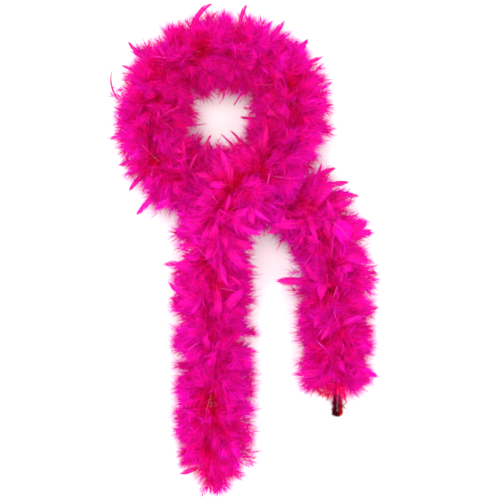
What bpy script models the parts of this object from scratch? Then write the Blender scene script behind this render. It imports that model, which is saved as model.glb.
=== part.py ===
"""A feather boa, laid flat in a loop with its two tails side by side.

A twisted cord runs the whole length. Each end is folded back into a loop and whipped with thread.
Feather tufts sit one after another along the cord: a tuft is a sleeve of binding thread with two
rows of feathers growing out of it. Where one length of the boa lies on another, on itself in a
bend, or on the floor, the feathers are shorter, because there they are pressed flat.

Metres, +Z up. The boa lies on the plane z = 0, with the middle of its outline over the origin,
the loop towards +Y and the tails towards -Y.
"""

import math
import random

import bmesh
import bpy
from mathutils import Matrix, Vector

# Cord
CORD_DIAMETER = 0.0055
CORD_RADIUS = CORD_DIAMETER / 2
GAP = 0.0003

# Tufts
TUFTS = 44
SLEEVE_LENGTH = 0.018
SLEEVE_BAND = 0.006
SLEEVE_INNER = CORD_RADIUS + 0.0004
SLEEVE_OUTER = 0.0048
FEATHERS_IN_ROW = 6
TUFT_TURN = math.radians(17)

# Feathers
REACH = 0.068
REACH_SPREAD = 0.06
SHORTEST_REACH = 0.012
VANE_HALF_WIDTH = 0.0115
VANE_HALF_THICKNESS = 0.0008
TIP_HALF_WIDTH = 0.0030
TIP_HALF_THICKNESS = 0.0005
FOOT_HALF_WIDTH = 0.0070
FOOT_HALF_THICKNESS = 0.0025
WIDEST_AT = 0.58
VANE_TWIST = math.radians(24)
SWEEP = math.radians(9)
ROW_SPLAY = math.radians(3.5)
RIGHT_END_SWEEPS = [math.radians(angle) for angle in (32, 22, 14)]
LEFT_END_SWEEPS = [math.radians(angle) for angle in (60, 45, 30, 18)]
OWN_STRETCH = 0.034
OWN_TAIL = 0.14
CLEARANCE = 0.006

# End loops, seen along the cord: the eye is a teardrop, drawn to a point at the whipping
LOOP_ARC_RADIUS = 0.0055
LOOP_START = 0.0009
LEG_SPACING = CORD_DIAMETER + 0.0007
WHIPPING_LENGTH = 0.009
WHIPPING_WALL = 0.0010
RIGHT_LOOP_LENGTH = 0.0553
LEFT_LOOP_LENGTH = 0.0300
THREAD_DIAMETER = 0.0011

# The cord's route, from the tail with the longer end loop to the other tail: x, y, z
ROUTE = [
    (0.168, -0.2455, 0.022),
    (0.167, -0.178, 0.044),
    (0.161, -0.098, 0.048),
    (0.158, -0.021, 0.048),
    (0.138, 0.043, 0.047),
    (0.094, 0.084, 0.045),
    (0.035, 0.096, 0.041),
    (-0.031, 0.105, 0.040),
    (-0.093, 0.121, 0.043),
    (-0.147, 0.160, 0.047),
    (-0.164, 0.223, 0.048),
    (-0.152, 0.289, 0.048),
    (-0.107, 0.338, 0.048),
    (-0.040, 0.356, 0.048),
    (0.024, 0.342, 0.048),
    (0.074, 0.296, 0.050),
    (0.088, 0.232, 0.057),
    (0.069, 0.175, 0.075),
    (0.024, 0.132, 0.096),
    (-0.018, 0.095, 0.106),
    (-0.043, 0.039, 0.090),
    (-0.051, -0.026, 0.062),
    (-0.051, -0.107, 0.049),
    (-0.051, -0.196, 0.048),
    (-0.052, -0.302, 0.044),
    (-0.054, -0.381, 0.022),
]

PINK = (0.84, 0.01, 0.30)
DEEP_RED = (0.22, 0.002, 0.012)
THREAD_RED = (0.40, 0.005, 0.02)

UP = Vector((0, 0, 1))


def clear_scene():
    for item in list(bpy.data.objects):
        bpy.data.objects.remove(item)


def make_collection():
    collection = bpy.data.collections.new("feather_boa")
    bpy.context.scene.collection.children.link(collection)
    return collection


def make_material(name, colour, roughness):
    material = bpy.data.materials.new(name)
    material.use_nodes = True
    shader = material.node_tree.nodes["Principled BSDF"]
    shader.inputs["Base Color"].default_value = (*colour, 1)
    shader.inputs["Roughness"].default_value = roughness
    shader.inputs["Metallic"].default_value = 0
    return material


def smooth_curve(points, steps=24):
    """Points on a Catmull-Rom curve through the given points."""
    points = [Vector(p) for p in points]
    guides = [2 * points[0] - points[1], *points, 2 * points[-1] - points[-2]]
    curve = []
    for i in range(1, len(guides) - 2):
        before, start, end, after = guides[i - 1 : i + 3]
        for step in range(steps):
            t = step / steps
            curve.append(
                0.5
                * (
                    2 * start
                    + (end - before) * t
                    + (2 * before - 5 * start + 4 * end - after) * t**2
                    + (3 * start - before - 3 * end + after) * t**3
                )
            )
    return [*curve, points[-1]]


def evenly_spaced(curve, count):
    """That many points, the same length of curve apart."""
    along = [0.0]
    for start, end in zip(curve, curve[1:]):
        along.append(along[-1] + (end - start).length)
    spaced, i = [], 0
    for k in range(count):
        wanted = along[-1] * k / (count - 1)
        while i < len(curve) - 2 and along[i + 1] < wanted:
            i += 1
        share = (wanted - along[i]) / (along[i + 1] - along[i])
        spaced.append(curve[i].lerp(curve[i + 1], min(share, 1)))
    return spaced


def tube(name, points, diameter, material, collection, bevel_resolution=2):
    """A round cord through the points, with closed ends."""
    data = bpy.data.curves.new(name, "CURVE")
    data.dimensions = "3D"
    data.bevel_depth = diameter / 2
    data.bevel_resolution = bevel_resolution
    data.use_fill_caps = True
    spline = data.splines.new("POLY")
    spline.points.add(len(points) - 1)
    for point, place in zip(spline.points, points):
        point.co = (*place, 1)
    data.materials.append(material)
    item = bpy.data.objects.new(name, data)
    collection.objects.link(item)
    return item


def frame_along(start, end):
    """The middle of a straight stretch of cord, with its own axes: along, upwards and sideways."""
    along = (end - start).normalized()
    upwards = (UP - UP.dot(along) * along).normalized()
    return (start + end) / 2, along, upwards, along.cross(upwards)


def sleeve(bm, axes, angle):
    """A six-sided sleeve of binding thread round the cord, and the faces of its two feather rows."""
    centre, along, upwards, sideways = axes
    half_turn = math.pi / FEATHERS_IN_ROW

    def ring(place, radius, turn):
        corners = []
        for k in range(FEATHERS_IN_ROW):
            t = angle + turn + (2 * k + 1) * half_turn
            outwards = math.cos(t) * upwards + math.sin(t) * sideways
            corners.append(bm.verts.new(centre + place * along + radius * outwards))
        return corners

    def band(first, second):
        sides = zip(first, [*first[1:], first[0]], [*second[1:], second[0]], second)
        return [bm.faces.new(corners) for corners in sides]

    half, inner_edge = SLEEVE_LENGTH / 2, SLEEVE_LENGTH / 2 - SLEEVE_BAND
    flat = SLEEVE_OUTER / math.cos(half_turn)
    bore = SLEEVE_INNER / math.cos(half_turn)
    rings = [
        ring(-half, flat, 0),
        ring(-inner_edge, flat, 0),
        ring(inner_edge, flat, half_turn),
        ring(half, flat, half_turn),
        ring(half, bore, half_turn),
        ring(-half, bore, 0),
    ]
    bands = [band(a, b) for a, b in zip(rings, [*rings[1:], rings[0]])]
    bmesh.ops.recalc_face_normals(bm, faces=bm.faces)
    return bands[0], bands[2]


def reach_of(root, direction, wanted, others):
    """How far a feather can go: to the floor, or to halfway towards another length of the boa."""
    step, length = 0.002, 0.0
    while length < wanted:
        tip = root + (length + step) * direction
        if tip.z <= TIP_HALF_WIDTH:
            return root.z / -direction.z, True
        if min((tip - p).length for p in others) < length + step + CLEARANCE:
            return length, False
        length += step
    return wanted, False


def grow(bm, face, side, front, sections):
    """Extends a sleeve face into a feather, through its sections.

    A section is its middle, with half its width and half its thickness as vectors.
    """
    for middle, next_side, next_front in sections:
        old = face.calc_center_median()
        face = bmesh.ops.extrude_discrete_faces(bm, faces=[face])["faces"][0]
        for corner in face.verts:
            offset = corner.co - old
            width = math.copysign(1, offset.dot(side))
            depth = math.copysign(1, offset.dot(front))
            corner.co = middle + width * next_side + depth * next_front
        side, front = next_side, next_front


def foot_section(middle, across, along):
    """The flat end of a feather that stands on the floor."""
    side = Vector((across.x, across.y, 0)) * FOOT_HALF_WIDTH
    front = Vector((along.x, along.y, 0)) * FOOT_HALF_THICKNESS
    return Vector((middle.x, middle.y, 0)), side, front


def feather(bm, face, axes, sweep, wanted, others):
    """One feather: narrow where it is bound, widest past its middle and narrow at its tip."""
    centre, along, _, _ = axes
    root = face.calc_center_median()
    outwards = root - centre - (root - centre).dot(along) * along
    outwards.normalize()
    across = along.cross(outwards)
    direction = (outwards + math.tan(sweep) * along).normalized()
    length, on_floor = reach_of(root, direction, wanted, others)
    if length < SHORTEST_REACH:
        return
    slim = min(1.0, length / REACH + 0.25)
    twist = Matrix.Rotation(VANE_TWIST, 3, direction)
    side, front = twist @ across, twist @ along
    middle = root + WIDEST_AT * length * direction
    vane = (middle, VANE_HALF_WIDTH * slim * side, VANE_HALF_THICKNESS * front)
    tip = root + length * direction
    end = (tip, TIP_HALF_WIDTH * side, TIP_HALF_THICKNESS * front)
    if on_floor:
        end = foot_section(tip, across, along)
    grow(bm, face, across, along, [vane, end])


def sweep_of(tuft):
    """Feathers lean towards the nearer end of the boa, and more so over its last tufts."""
    from_right, from_left = tuft, TUFTS - 1 - tuft
    if from_right < len(RIGHT_END_SWEEPS):
        return -RIGHT_END_SWEEPS[from_right]
    if from_left < len(LEFT_END_SWEEPS):
        return LEFT_END_SWEEPS[from_left]
    return -SWEEP if from_right < from_left else SWEEP


def make_tuft(tuft, stops, path, material, collection, chance):
    """A sleeve with its feathers, on one straight stretch of the cord."""
    seat = 2 * tuft + 1
    axes = frame_along(stops[seat], stops[seat + 1])
    here = (seat + 0.5) / (len(stops) - 1) * path[-1][1]
    own = OWN_TAIL if min(tuft, TUFTS - 1 - tuft) < len(LEFT_END_SWEEPS) else OWN_STRETCH
    others = [place for place, along in path if abs(along - here) > own]
    bm = bmesh.new()
    rows = sleeve(bm, axes, tuft * TUFT_TURN)
    for splay, row in zip((-ROW_SPLAY, ROW_SPLAY), rows):
        for face in row:
            wanted = REACH * (1 + chance.uniform(-REACH_SPREAD, REACH_SPREAD))
            feather(bm, face, axes, sweep_of(tuft) + splay, wanted, others)
    bmesh.ops.recalc_face_normals(bm, faces=bm.faces)
    name = f"feather_tuft_{tuft + 1:02d}"
    data = bpy.data.meshes.new(name)
    bm.to_mesh(data)
    bm.free()
    data.materials.append(material)
    item = bpy.data.objects.new(name, data)
    collection.objects.link(item)
    return item


def end_matrix(end, before):
    """A frame at the cord's end: local Y runs outwards along the cord, local Z is up."""
    outwards = (end - before).normalized()
    level = (UP - UP.dot(outwards) * outwards).normalized()
    across = outwards.cross(level)
    turned = Matrix((across, outwards, level)).transposed()
    return Matrix.Translation(end) @ turned.to_4x4()


def loop_outline(length, side):
    """The folded end in its own frame: out along one leg, round the eye, and back beside the cord."""
    middle = Vector((side * LEG_SPACING / 2, length - LOOP_ARC_RADIUS, 0))
    turns = 12
    arc = [
        middle + LOOP_ARC_RADIUS * Vector((-side * math.cos(a), math.sin(a), 0))
        for a in (math.pi * (k / turns) for k in range(turns + 1))
    ]
    out = Vector((0, LOOP_START, 0))
    back = Vector((side * LEG_SPACING, LOOP_START, 0))
    end = Vector((side * LEG_SPACING, -WHIPPING_LENGTH - 0.002, 0))
    first_leg = [out.lerp(arc[0], t) for t in (0, 0.25, 0.5, 0.75)]
    last_leg = [arc[-1].lerp(back, t) for t in (0.25, 0.5, 0.75, 1)]
    return [*first_leg, *arc, *last_leg, end]


def stadium(spline, half_spacing, radius, steps=8):
    """A closed flat outline: two half circles, that far from the middle, joined by straight sides."""
    points = []
    for side, start in ((1, -math.pi / 2), (-1, math.pi / 2)):
        for k in range(steps + 1):
            a = start + math.pi * k / steps
            points.append((side * half_spacing + radius * math.cos(a), radius * math.sin(a)))
    spline.points.add(len(points) - 1)
    for point, (x, y) in zip(spline.points, points):
        point.co = (x, y, 0, 1)
    spline.use_cyclic_u = True


def whipping(name, matrix, side, material, collection):
    """Thread wound round the cord and the leg beside it."""
    data = bpy.data.curves.new(name, "CURVE")
    data.dimensions = "2D"
    data.fill_mode = "BOTH"
    data.extrude = WHIPPING_LENGTH / 2
    inner = CORD_RADIUS + 0.0004
    for radius in (inner + WHIPPING_WALL, inner):
        stadium(data.splines.new("POLY"), LEG_SPACING / 2, radius)
    data.materials.append(material)
    item = bpy.data.objects.new(name, data)
    middle = Vector((side * LEG_SPACING / 2, -WHIPPING_LENGTH / 2 - 0.0006, 0))
    item.matrix_world = (
        matrix @ Matrix.Translation(middle) @ Matrix.Rotation(-math.pi / 2, 4, "X")
    )
    collection.objects.link(item)
    return item


def thread_knot(name, place, direction, material, collection):
    """A few turns of thread tied round one leg of an end loop."""
    bpy.ops.mesh.primitive_torus_add(
        major_segments=14,
        minor_segments=6,
        major_radius=CORD_RADIUS + GAP + 0.0011,
        minor_radius=0.0009,
    )
    item = bpy.context.object
    item.name = name
    item.data.name = name
    item.rotation_mode = "QUATERNION"
    item.rotation_quaternion = direction.to_track_quat("Z", "Y")
    item.location = place
    item.data.materials.append(material)
    for user in list(item.users_collection):
        user.objects.unlink(item)
    collection.objects.link(item)
    return item


def make_end(label, matrix, length, side, material, thread, collection):
    """A folded and whipped end loop, with the knot on its returning leg."""
    outline = [matrix @ p for p in loop_outline(length, side)]
    tube(f"end_loop_{label}", outline, CORD_DIAMETER, material, collection, 3)
    whipping(f"loop_whipping_{label}", matrix, side, thread, collection)
    knot = outline[17]
    thread_knot(f"thread_knot_{label}", knot, outline[18] - outline[16], thread, collection)
    return knot


def make_thread_tails(knot, thread, collection):
    """The knot's two cut ends, which stand away from the visible loop."""
    routes = {
        "thread_tail_upper": [(0.0058, 0.0008, 0), (0.0084, 0.0034, 0.0008), (0.0110, 0.0056, 0)],
        "thread_tail_lower": [(0.0058, -0.0008, 0), (0.0080, -0.0032, 0.0006), (0.0104, -0.0066, 0)],
    }
    for name, route in routes.items():
        points = evenly_spaced(smooth_curve([knot + Vector(p) for p in route], 6), 7)
        tube(name, points, THREAD_DIAMETER, thread, collection)


def main():
    clear_scene()
    collection = make_collection()
    feathers = make_material("dyed_feather", PINK, 0.75)
    cord = make_material("twisted_cord", DEEP_RED, 0.6)
    thread = make_material("binding_thread", THREAD_RED, 0.5)

    curve = smooth_curve(ROUTE)
    stops = evenly_spaced(curve, 2 * TUFTS + 2)
    length = sum((b - a).length for a, b in zip(curve, curve[1:]))
    samples = 260
    path = [
        (point, length * k / (samples - 1))
        for k, point in enumerate(evenly_spaced(curve, samples))
    ]
    tube("core_cord", stops, CORD_DIAMETER, cord, collection)
    chance = random.Random(7)
    for tuft in range(TUFTS):
        make_tuft(tuft, stops, path, feathers, collection, chance)

    right = end_matrix(stops[0], stops[1])
    left = end_matrix(stops[-1], stops[-2])
    knot = make_end("right", right, RIGHT_LOOP_LENGTH, -1, cord, thread, collection)
    make_end("left", left, LEFT_LOOP_LENGTH, 1, cord, thread, collection)
    make_thread_tails(knot, thread, collection)


main()
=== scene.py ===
"""A hot pink feather boa, laid flat: a loop, a crossing and two tails.

Every feather is a real mesh. It has a tapered shaft, a vane of barbs that split at the edges, and
down near its root. Soft plumes of down fill the space between the feathers. One piece holds the
feathers of one tuft. The cord inside and its folded end loops are twisted plies, and short fibres
stand off the loops. The whippings and the knots on the loops are wound thread.
"""

import math

import bpy
import numpy as np
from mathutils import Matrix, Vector


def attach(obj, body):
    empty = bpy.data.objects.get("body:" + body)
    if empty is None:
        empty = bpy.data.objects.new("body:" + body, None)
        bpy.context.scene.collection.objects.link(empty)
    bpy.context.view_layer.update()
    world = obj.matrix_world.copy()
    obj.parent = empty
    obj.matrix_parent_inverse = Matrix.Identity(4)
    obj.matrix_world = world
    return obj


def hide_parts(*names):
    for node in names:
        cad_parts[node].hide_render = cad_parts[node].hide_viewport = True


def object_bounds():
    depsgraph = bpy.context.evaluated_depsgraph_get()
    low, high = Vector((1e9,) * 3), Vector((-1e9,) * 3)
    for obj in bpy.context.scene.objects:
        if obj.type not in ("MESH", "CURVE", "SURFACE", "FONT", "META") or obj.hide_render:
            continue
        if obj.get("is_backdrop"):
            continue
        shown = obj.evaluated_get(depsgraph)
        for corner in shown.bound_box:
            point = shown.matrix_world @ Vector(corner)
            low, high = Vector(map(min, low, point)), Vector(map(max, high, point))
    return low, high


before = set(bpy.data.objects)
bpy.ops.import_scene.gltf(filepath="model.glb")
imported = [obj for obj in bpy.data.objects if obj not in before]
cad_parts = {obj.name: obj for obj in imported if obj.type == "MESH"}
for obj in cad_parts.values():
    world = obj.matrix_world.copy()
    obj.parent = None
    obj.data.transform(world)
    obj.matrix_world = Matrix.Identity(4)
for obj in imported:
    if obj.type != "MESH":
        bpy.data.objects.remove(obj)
cad_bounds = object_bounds()

# The cord's route and sizes, as in the CAD model
ROUTE = [
    (0.168, -0.2455, 0.022),
    (0.167, -0.178, 0.044),
    (0.161, -0.098, 0.048),
    (0.158, -0.021, 0.048),
    (0.138, 0.043, 0.047),
    (0.094, 0.084, 0.045),
    (0.035, 0.096, 0.041),
    (-0.031, 0.105, 0.040),
    (-0.093, 0.121, 0.043),
    (-0.147, 0.160, 0.047),
    (-0.164, 0.223, 0.048),
    (-0.152, 0.289, 0.048),
    (-0.107, 0.338, 0.048),
    (-0.040, 0.356, 0.048),
    (0.024, 0.342, 0.048),
    (0.074, 0.296, 0.050),
    (0.088, 0.232, 0.057),
    (0.069, 0.175, 0.075),
    (0.024, 0.132, 0.096),
    (-0.018, 0.095, 0.106),
    (-0.043, 0.039, 0.090),
    (-0.051, -0.026, 0.062),
    (-0.051, -0.107, 0.049),
    (-0.051, -0.196, 0.048),
    (-0.052, -0.303, 0.044),
    (-0.054, -0.381, 0.022),
]
TUFTS = 44
CORD_DIAMETER = 0.0055
LEG_SPACING = CORD_DIAMETER + 0.0007
LOOP_ARC_RADIUS = 0.0055
LOOP_START = 0.0009
RIGHT_LOOP_LENGTH = 0.0553
LEFT_LOOP_LENGTH = 0.0300
WHIPPING_LENGTH = 0.009

# The length of cord in which its plies turn round once
CORD_PITCH = 0.013

# Fibres that stand off the cord of an end loop: how many, how long, from how far out, how many of
# the last points of its path have none, and their seed
FUZZ_HAIRS = 2600
FUZZ_LENGTH = 0.0046
FUZZ_START = 0.0016
FUZZ_LEAVES_FREE = 24
FUZZ_SEED = 7

# Feathers
SEED = 100
VANED_SHARE = (
    # length along the cord, then how many feathers of a clump have a vane to their tip
    (0.00, 0.14),
    (0.16, 0.24),
    (0.28, 0.56),
    (0.46, 0.56),
    (0.58, 0.11),
    (1.18, 0.11),
    (1.32, 0.50),
    (1.44, 0.34),
    (1.54, 0.11),
    (1.76, 0.11),
)
CLUMPS_PER_TUFT = 10
CLUMP_SIZE = 4
COVERS_PER_TUFT = 10
RIBBONS_PER_TUFT = 6
BARE_QUILLS = 4
UNDERCOAT_PLUMES = 4
UNDERCOAT_BARBS = 90
PLUME_BARBS = 175
VANE_BARB_SPACING = 0.00135
BARBS_PER_WISP = 3
FINE_SHARE = 0.44
FULLNESS = (
    # length along the cord, then how far feathers stand out on its left and on its right
    (0.00, 0.80, 0.66),
    (0.05, 0.86, 0.80),
    (0.10, 0.94, 0.90),
    (0.18, 0.93, 0.98),
    (0.26, 0.84, 1.15),
    (0.38, 0.80, 1.22),
    (0.44, 0.84, 1.12),
    (0.53, 1.06, 1.10),
    (0.60, 0.66, 1.12),
    (0.66, 0.77, 1.10),
    (0.78, 0.75, 1.26),
    (0.92, 0.92, 1.08),
    (1.06, 0.97, 1.02),
    (1.14, 0.96, 1.02),
    (1.24, 1.04, 1.09),
    (1.36, 1.06, 0.96),
    (1.42, 0.98, 1.08),
    (1.50, 1.02, 1.00),
    (1.62, 1.04, 0.93),
    (1.70, 1.06, 0.90),
    (1.76, 1.06, 0.70),
)

# A shaft's line runs on past its tip, for the barbs that reach beyond it
SHAFT_REACH = 1.35
SHAFT_STEPS = 26

# How far from the cord's middle line feathers are rooted, at its side and on its top
CORD_SKIN = 0.0035
CORD_TOP = 0.003

# How far round from the cord's top feathers leave it: the topmost ones and the lowest ones
PARTED_FROM = math.radians(8)
PRESSED_TO = math.radians(102)

# How near the floor points may come, and how far out on each axis, both softly
FLOOR_GAP = 0.0012
FLOOR_SOFT = 0.012
EDGE_SOFT = 0.014
LIMITS = (0.252, 0.446, 0.186)

# Where a stray's vane starts, its outline's power, its widest place and its number of down barbs
STRAY_KINDS = {
    "leaf": (0.45, 2.2, 0.45, 40),
    "fan": (0.50, 6.0, 0.85, 40),
    "blade": (0.25, 2.0, 0.45, 0),
    "quill": (0.55, 1.4, 0.30, 14),
    "plume": (0.80, 2.0, 0.50, 130),
}
STRAYS = (
    # tip, how far along the cord its root is from the nearest point, half width,
    # sideways bend in degrees, kind
    ((-0.2235, 0.325, 0.050), -0.06, 0.0018, -100, "quill"),
    ((-0.236, 0.278, 0.045), 0.0, 0.0, -10, "plume"),
    ((-0.231, 0.290, 0.040), 0.0, 0.0, 10, "plume"),
    ((-0.202, 0.373, 0.045), 0.0, 0.0040, -30, "leaf"),
    ((-0.200, 0.354, 0.040), 0.0, 0.0030, 25, "quill"),
    ((-0.194, 0.366, 0.040), 0.0, 0.0, -10, "plume"),
    ((-0.188, 0.354, 0.045), 0.0, 0.0, 10, "plume"),
    ((-0.215, 0.328, 0.045), 0.0, 0.0040, 20, "leaf"),
    ((-0.048, 0.437, 0.055), -0.05, 0.0055, -80, "leaf"),
    ((-0.041, 0.427, 0.040), -0.04, 0.0025, -40, "quill"),
    ((0.008, 0.438, 0.050), 0.0, 0.0045, -25, "fan"),
    ((0.076, 0.408, 0.045), 0.0, 0.0060, -15, "leaf"),
    ((0.116, 0.376, 0.050), 0.0, 0.0065, 20, "leaf"),
    ((0.144, 0.344, 0.045), 0.0, 0.0045, -20, "leaf"),
    ((0.159, 0.300, 0.050), 0.0, 0.0055, 25, "leaf"),
    ((0.162, 0.258, 0.040), 0.0, 0.0050, -20, "leaf"),
    ((-0.227, 0.255, 0.045), 0.0, 0.0030, -25, "quill"),
    ((-0.233, 0.198, 0.050), 0.0, 0.0110, 20, "leaf"),
    ((-0.220, 0.153, 0.040), 0.0, 0.0070, -25, "leaf"),
    ((-0.201, 0.105, 0.035), 0.0, 0.0050, 30, "leaf"),
    ((-0.190, 0.064, 0.035), 0.0, 0.0060, -15, "leaf"),
    ((-0.178, 0.075, 0.030), 0.0, 0.0, 10, "plume"),
    ((-0.158, 0.058, 0.040), 0.0, 0.0, 10, "plume"),
    ((-0.014, 0.254, 0.070), 0.0, 0.0022, 20, "quill"),
    ((-0.004, 0.264, 0.060), 0.0, 0.0, 10, "plume"),
    ((0.002, 0.250, 0.060), 0.0, 0.0, -10, "plume"),
    ((-0.004, 0.238, 0.060), 0.0, 0.0035, -25, "leaf"),
    ((-0.063, 0.227, 0.050), 0.0, 0.0014, 20, "quill"),
    ((-0.060, 0.192, 0.085), 0.0, 0.0, 8, "plume"),
    ((-0.040, 0.196, 0.095), 0.0, 0.0, -8, "plume"),
    ((-0.010, 0.198, 0.100), 0.0, 0.0, 8, "plume"),
    ((-0.054, 0.202, 0.085), 0.0, 0.0030, -15, "leaf"),
    ((-0.038, 0.204, 0.090), 0.0, 0.0022, 10, "quill"),
    ((-0.022, 0.209, 0.085), 0.0, 0.0030, 20, "leaf"),
    ((0.006, 0.200, 0.085), 0.0, 0.0, 10, "plume"),
    ((0.207, 0.094, 0.050), 0.07, 0.0070, -20, "leaf"),
    ((0.190, 0.120, 0.045), 0.06, 0.0060, -15, "leaf"),
    ((0.166, 0.146, 0.045), 0.05, 0.0060, -10, "leaf"),
    ((0.176, 0.108, 0.035), 0.05, 0.0, -10, "plume"),
    ((0.192, 0.080, 0.035), 0.04, 0.0, -10, "plume"),
    ((0.205, 0.060, 0.040), 0.03, 0.0, -10, "plume"),
    ((0.179, 0.016, 0.150), 0.06, 0.0185, -40, "fan"),
    ((0.221, 0.052, 0.055), 0.0, 0.0110, 0, "fan"),
    ((0.232, 0.030, 0.045), 0.0, 0.0085, -15, "fan"),
    ((0.240, -0.044, 0.040), 0.0, 0.0040, -25, "leaf"),
    ((0.062, -0.054, 0.055), 0.0, 0.0095, -10, "leaf"),
    ((0.088, -0.022, 0.050), 0.0, 0.0, 10, "plume"),
    ((0.080, -0.038, 0.045), 0.0, 0.0, -10, "plume"),
    ((0.243, -0.100, 0.045), 0.0, 0.0050, 20, "leaf"),
    ((-0.075, 0.168, 0.140), 0.0, 0.0045, -15, "leaf"),
    ((0.014, 0.178, 0.150), 0.0, 0.0040, 15, "leaf"),
    ((0.036, 0.096, 0.130), 0.0, 0.0040, 25, "leaf"),
    ((0.080, 0.098, 0.115), 0.0, 0.0030, -30, "leaf"),
    ((-0.122, -0.182, 0.040), 0.0, 0.0014, 80, "quill"),
    ((-0.113, -0.262, 0.040), 0.0, 0.0014, 90, "quill"),
    ((-0.115, -0.150, 0.050), 0.0, 0.0012, 70, "quill"),
    ((-0.046, -0.430, 0.025), 0.0, 0.0060, 10, "leaf"),
    ((-0.030, -0.424, 0.022), 0.0, 0.0, -10, "plume"),
    ((0.024, -0.370, 0.035), 0.0, 0.0, 10, "plume"),
    ((0.018, -0.384, 0.035), 0.0, 0.0, -10, "plume"),
    ((-0.112, -0.400, 0.030), 0.0, 0.0050, -15, "leaf"),
    ((0.1850, -0.270, 0.030), 0.006, 0.0060, -14, "blade"),
    ((0.206, -0.250, 0.030), 0.0, 0.0040, -15, "leaf"),
    ((0.140, -0.258, 0.030), 0.0, 0.0, 10, "plume"),
    ((0.152, -0.262, 0.022), 0.004, 0.0, -10, "plume"),
    ((0.128, -0.244, 0.025), 0.0, 0.0, 10, "plume"),
)

# Camera, and how wide the picture is at the cord's height
CAMERA_PLACE = (0.0136, 0.0002, 3.0)
SENSOR_WIDTH = 36
PICTURE_WIDTH = 0.89
CORD_HEIGHT = 0.05

UP = np.array([0.0, 0.0, 1.0])


# ---- small maths


def unit(v):
    return v / np.maximum(np.linalg.norm(v, axis=-1, keepdims=True), 1e-9)


def turn(v, axis, angle):
    """v turned round a unit axis."""
    c, s = math.cos(angle), math.sin(angle)
    return v * c + np.cross(axis, v) * s + axis * np.dot(axis, v) * (1 - c)


def smooth_curve(points, steps=24):
    """Points on a Catmull-Rom curve through the given points."""
    points = np.asarray(points, float)
    guides = np.vstack([2 * points[0] - points[1], points, 2 * points[-1] - points[-2]])
    t = (np.arange(steps) / steps)[:, None]
    spans = []
    for i in range(1, len(guides) - 2):
        before, start, end, after = guides[i - 1 : i + 3]
        curve = 2 * start + (end - before) * t
        curve = curve + (2 * before - 5 * start + 4 * end - after) * t**2
        curve = curve + (3 * start - before - 3 * end + after) * t**3
        spans.append(curve / 2)
    return np.vstack([*spans, points[-1:]])


def lengths_along(points):
    """The length from the first point to each one."""
    steps = np.linalg.norm(np.diff(points, axis=0), axis=1)
    return np.concatenate([[0], np.cumsum(steps)])


def at_lengths(points, along, wanted):
    """The points' polyline, read at those lengths along it."""
    return np.stack([np.interp(wanted, along, points[:, i]) for i in range(3)], axis=-1)


def evenly_spaced(points, count):
    along = lengths_along(points)
    return at_lengths(points, along, np.linspace(0, along[-1], count))


# ---- meshes


class Soup:
    """Quads gathered for one mesh, with a colour at each point and a material on each quad."""

    def __init__(self):
        self.points, self.tints, self.quads, self.slots = [], [], [], []
        self.count = 0

    def add(self, points, tints, quads, slot):
        self.points.append(points.reshape(-1, 3))
        self.tints.append(tints.reshape(-1, 3))
        self.quads.append(quads.reshape(-1, 4) + self.count)
        self.slots.append(np.full(quads.size // 4, slot, np.int32))
        self.count += points.size // 3

    def mesh(self, name, materials, shading=None):
        points = np.concatenate(self.points).astype(np.float32)
        tints = np.concatenate(self.tints)
        # Painted light and shade go into the colours here: darker and redder near the cord, bluer
        # outside
        if shading is not None:
            tints = tints * shading(points)
        quads = np.concatenate(self.quads).astype(np.int32)
        data = bpy.data.meshes.new(name)
        data.vertices.add(len(points))
        data.vertices.foreach_set("co", points.ravel())
        data.loops.add(quads.size)
        data.loops.foreach_set("vertex_index", quads.ravel())
        data.polygons.add(len(quads))
        data.polygons.foreach_set("loop_start", np.arange(0, quads.size, 4, dtype=np.int32))
        for material in materials:
            data.materials.append(material)
        data.polygons.foreach_set("material_index", np.concatenate(self.slots))
        data.update(calc_edges=True)
        data.polygons.foreach_set("use_smooth", np.ones(len(quads), bool))
        layer = data.color_attributes.new("tint", "FLOAT_COLOR", "POINT")
        rgba = np.ones((len(points), 4), np.float32)
        rgba[:, :3] = tints
        layer.data.foreach_set("color", rgba.ravel())
        return data


def show(name, data, *nodes, slot="dyed_feather"):
    """A piece on the one body, in place of the CAD nodes named."""
    item = bpy.data.objects.new(name, data)
    bpy.context.scene.collection.objects.link(item)
    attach(item, "root")
    if nodes:
        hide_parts(*nodes)
    return item


def strip_quads(strips, sections):
    """Quads for that many ribbons with that many pairs of edge points each."""
    base = np.arange(strips)[:, None] * sections * 2
    step = np.arange(sections - 1)[None, :] * 2
    start = base + step
    return np.stack([start, start + 1, start + 3, start + 2], axis=-1)


def tube_quads(rings, sides):
    """Quads for a tube of that many rings of points."""
    around = np.arange(sides)
    ring = np.arange(rings - 1)[:, None] * sides
    first = ring + around
    second = ring + (around + 1) % sides
    return np.stack([first, second, second + sides, first + sides], axis=-1)


# ---- colours

# Feathers
# Painted shade: down turns towards this redder colour near its root, deep in the plumage
SHADED_ROOT = np.array([0.96, 0.001, 0.14])
ROSE = np.array([0.97, 0.003, 0.27])
PINK = np.array([0.98, 0.004, 0.44])
CRIMSON = np.array([0.97, 0.002, 0.24])
ORCHID = np.array([0.94, 0.016, 0.64])
VIOLET = np.array([0.60, 0.012, 0.34])
QUILL = np.array([0.95, 0.10, 0.42])
PALE = np.array([1.0, 0.17, 0.52])
PLUM = np.array([0.48, 0.004, 0.26])

# How strong red, green and blue vary with a barb's own shade
SHADE_POWERS = np.array([0.45, 1.0, 1.8])

# Painted shade and light on the feathers: the colour's factors near the cord (painted shade, darker
# and redder) and outside (painted light, bluer), and where the one ends and the other begins. It is
# measured from that much of the cord each way, and what lies low is counted as nearer to it.
SHADED_TONE = np.array([1.0, 0.5, 0.38])
LIT_TONE = np.array([1.0, 1.0, 1.20])
SHADE_WITHIN = 0.016
LIT_BEYOND = 0.056
SHADE_REACH = 0.09
LOW_IS_SHADED = 0.8
LOWEST = 0.040
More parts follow.
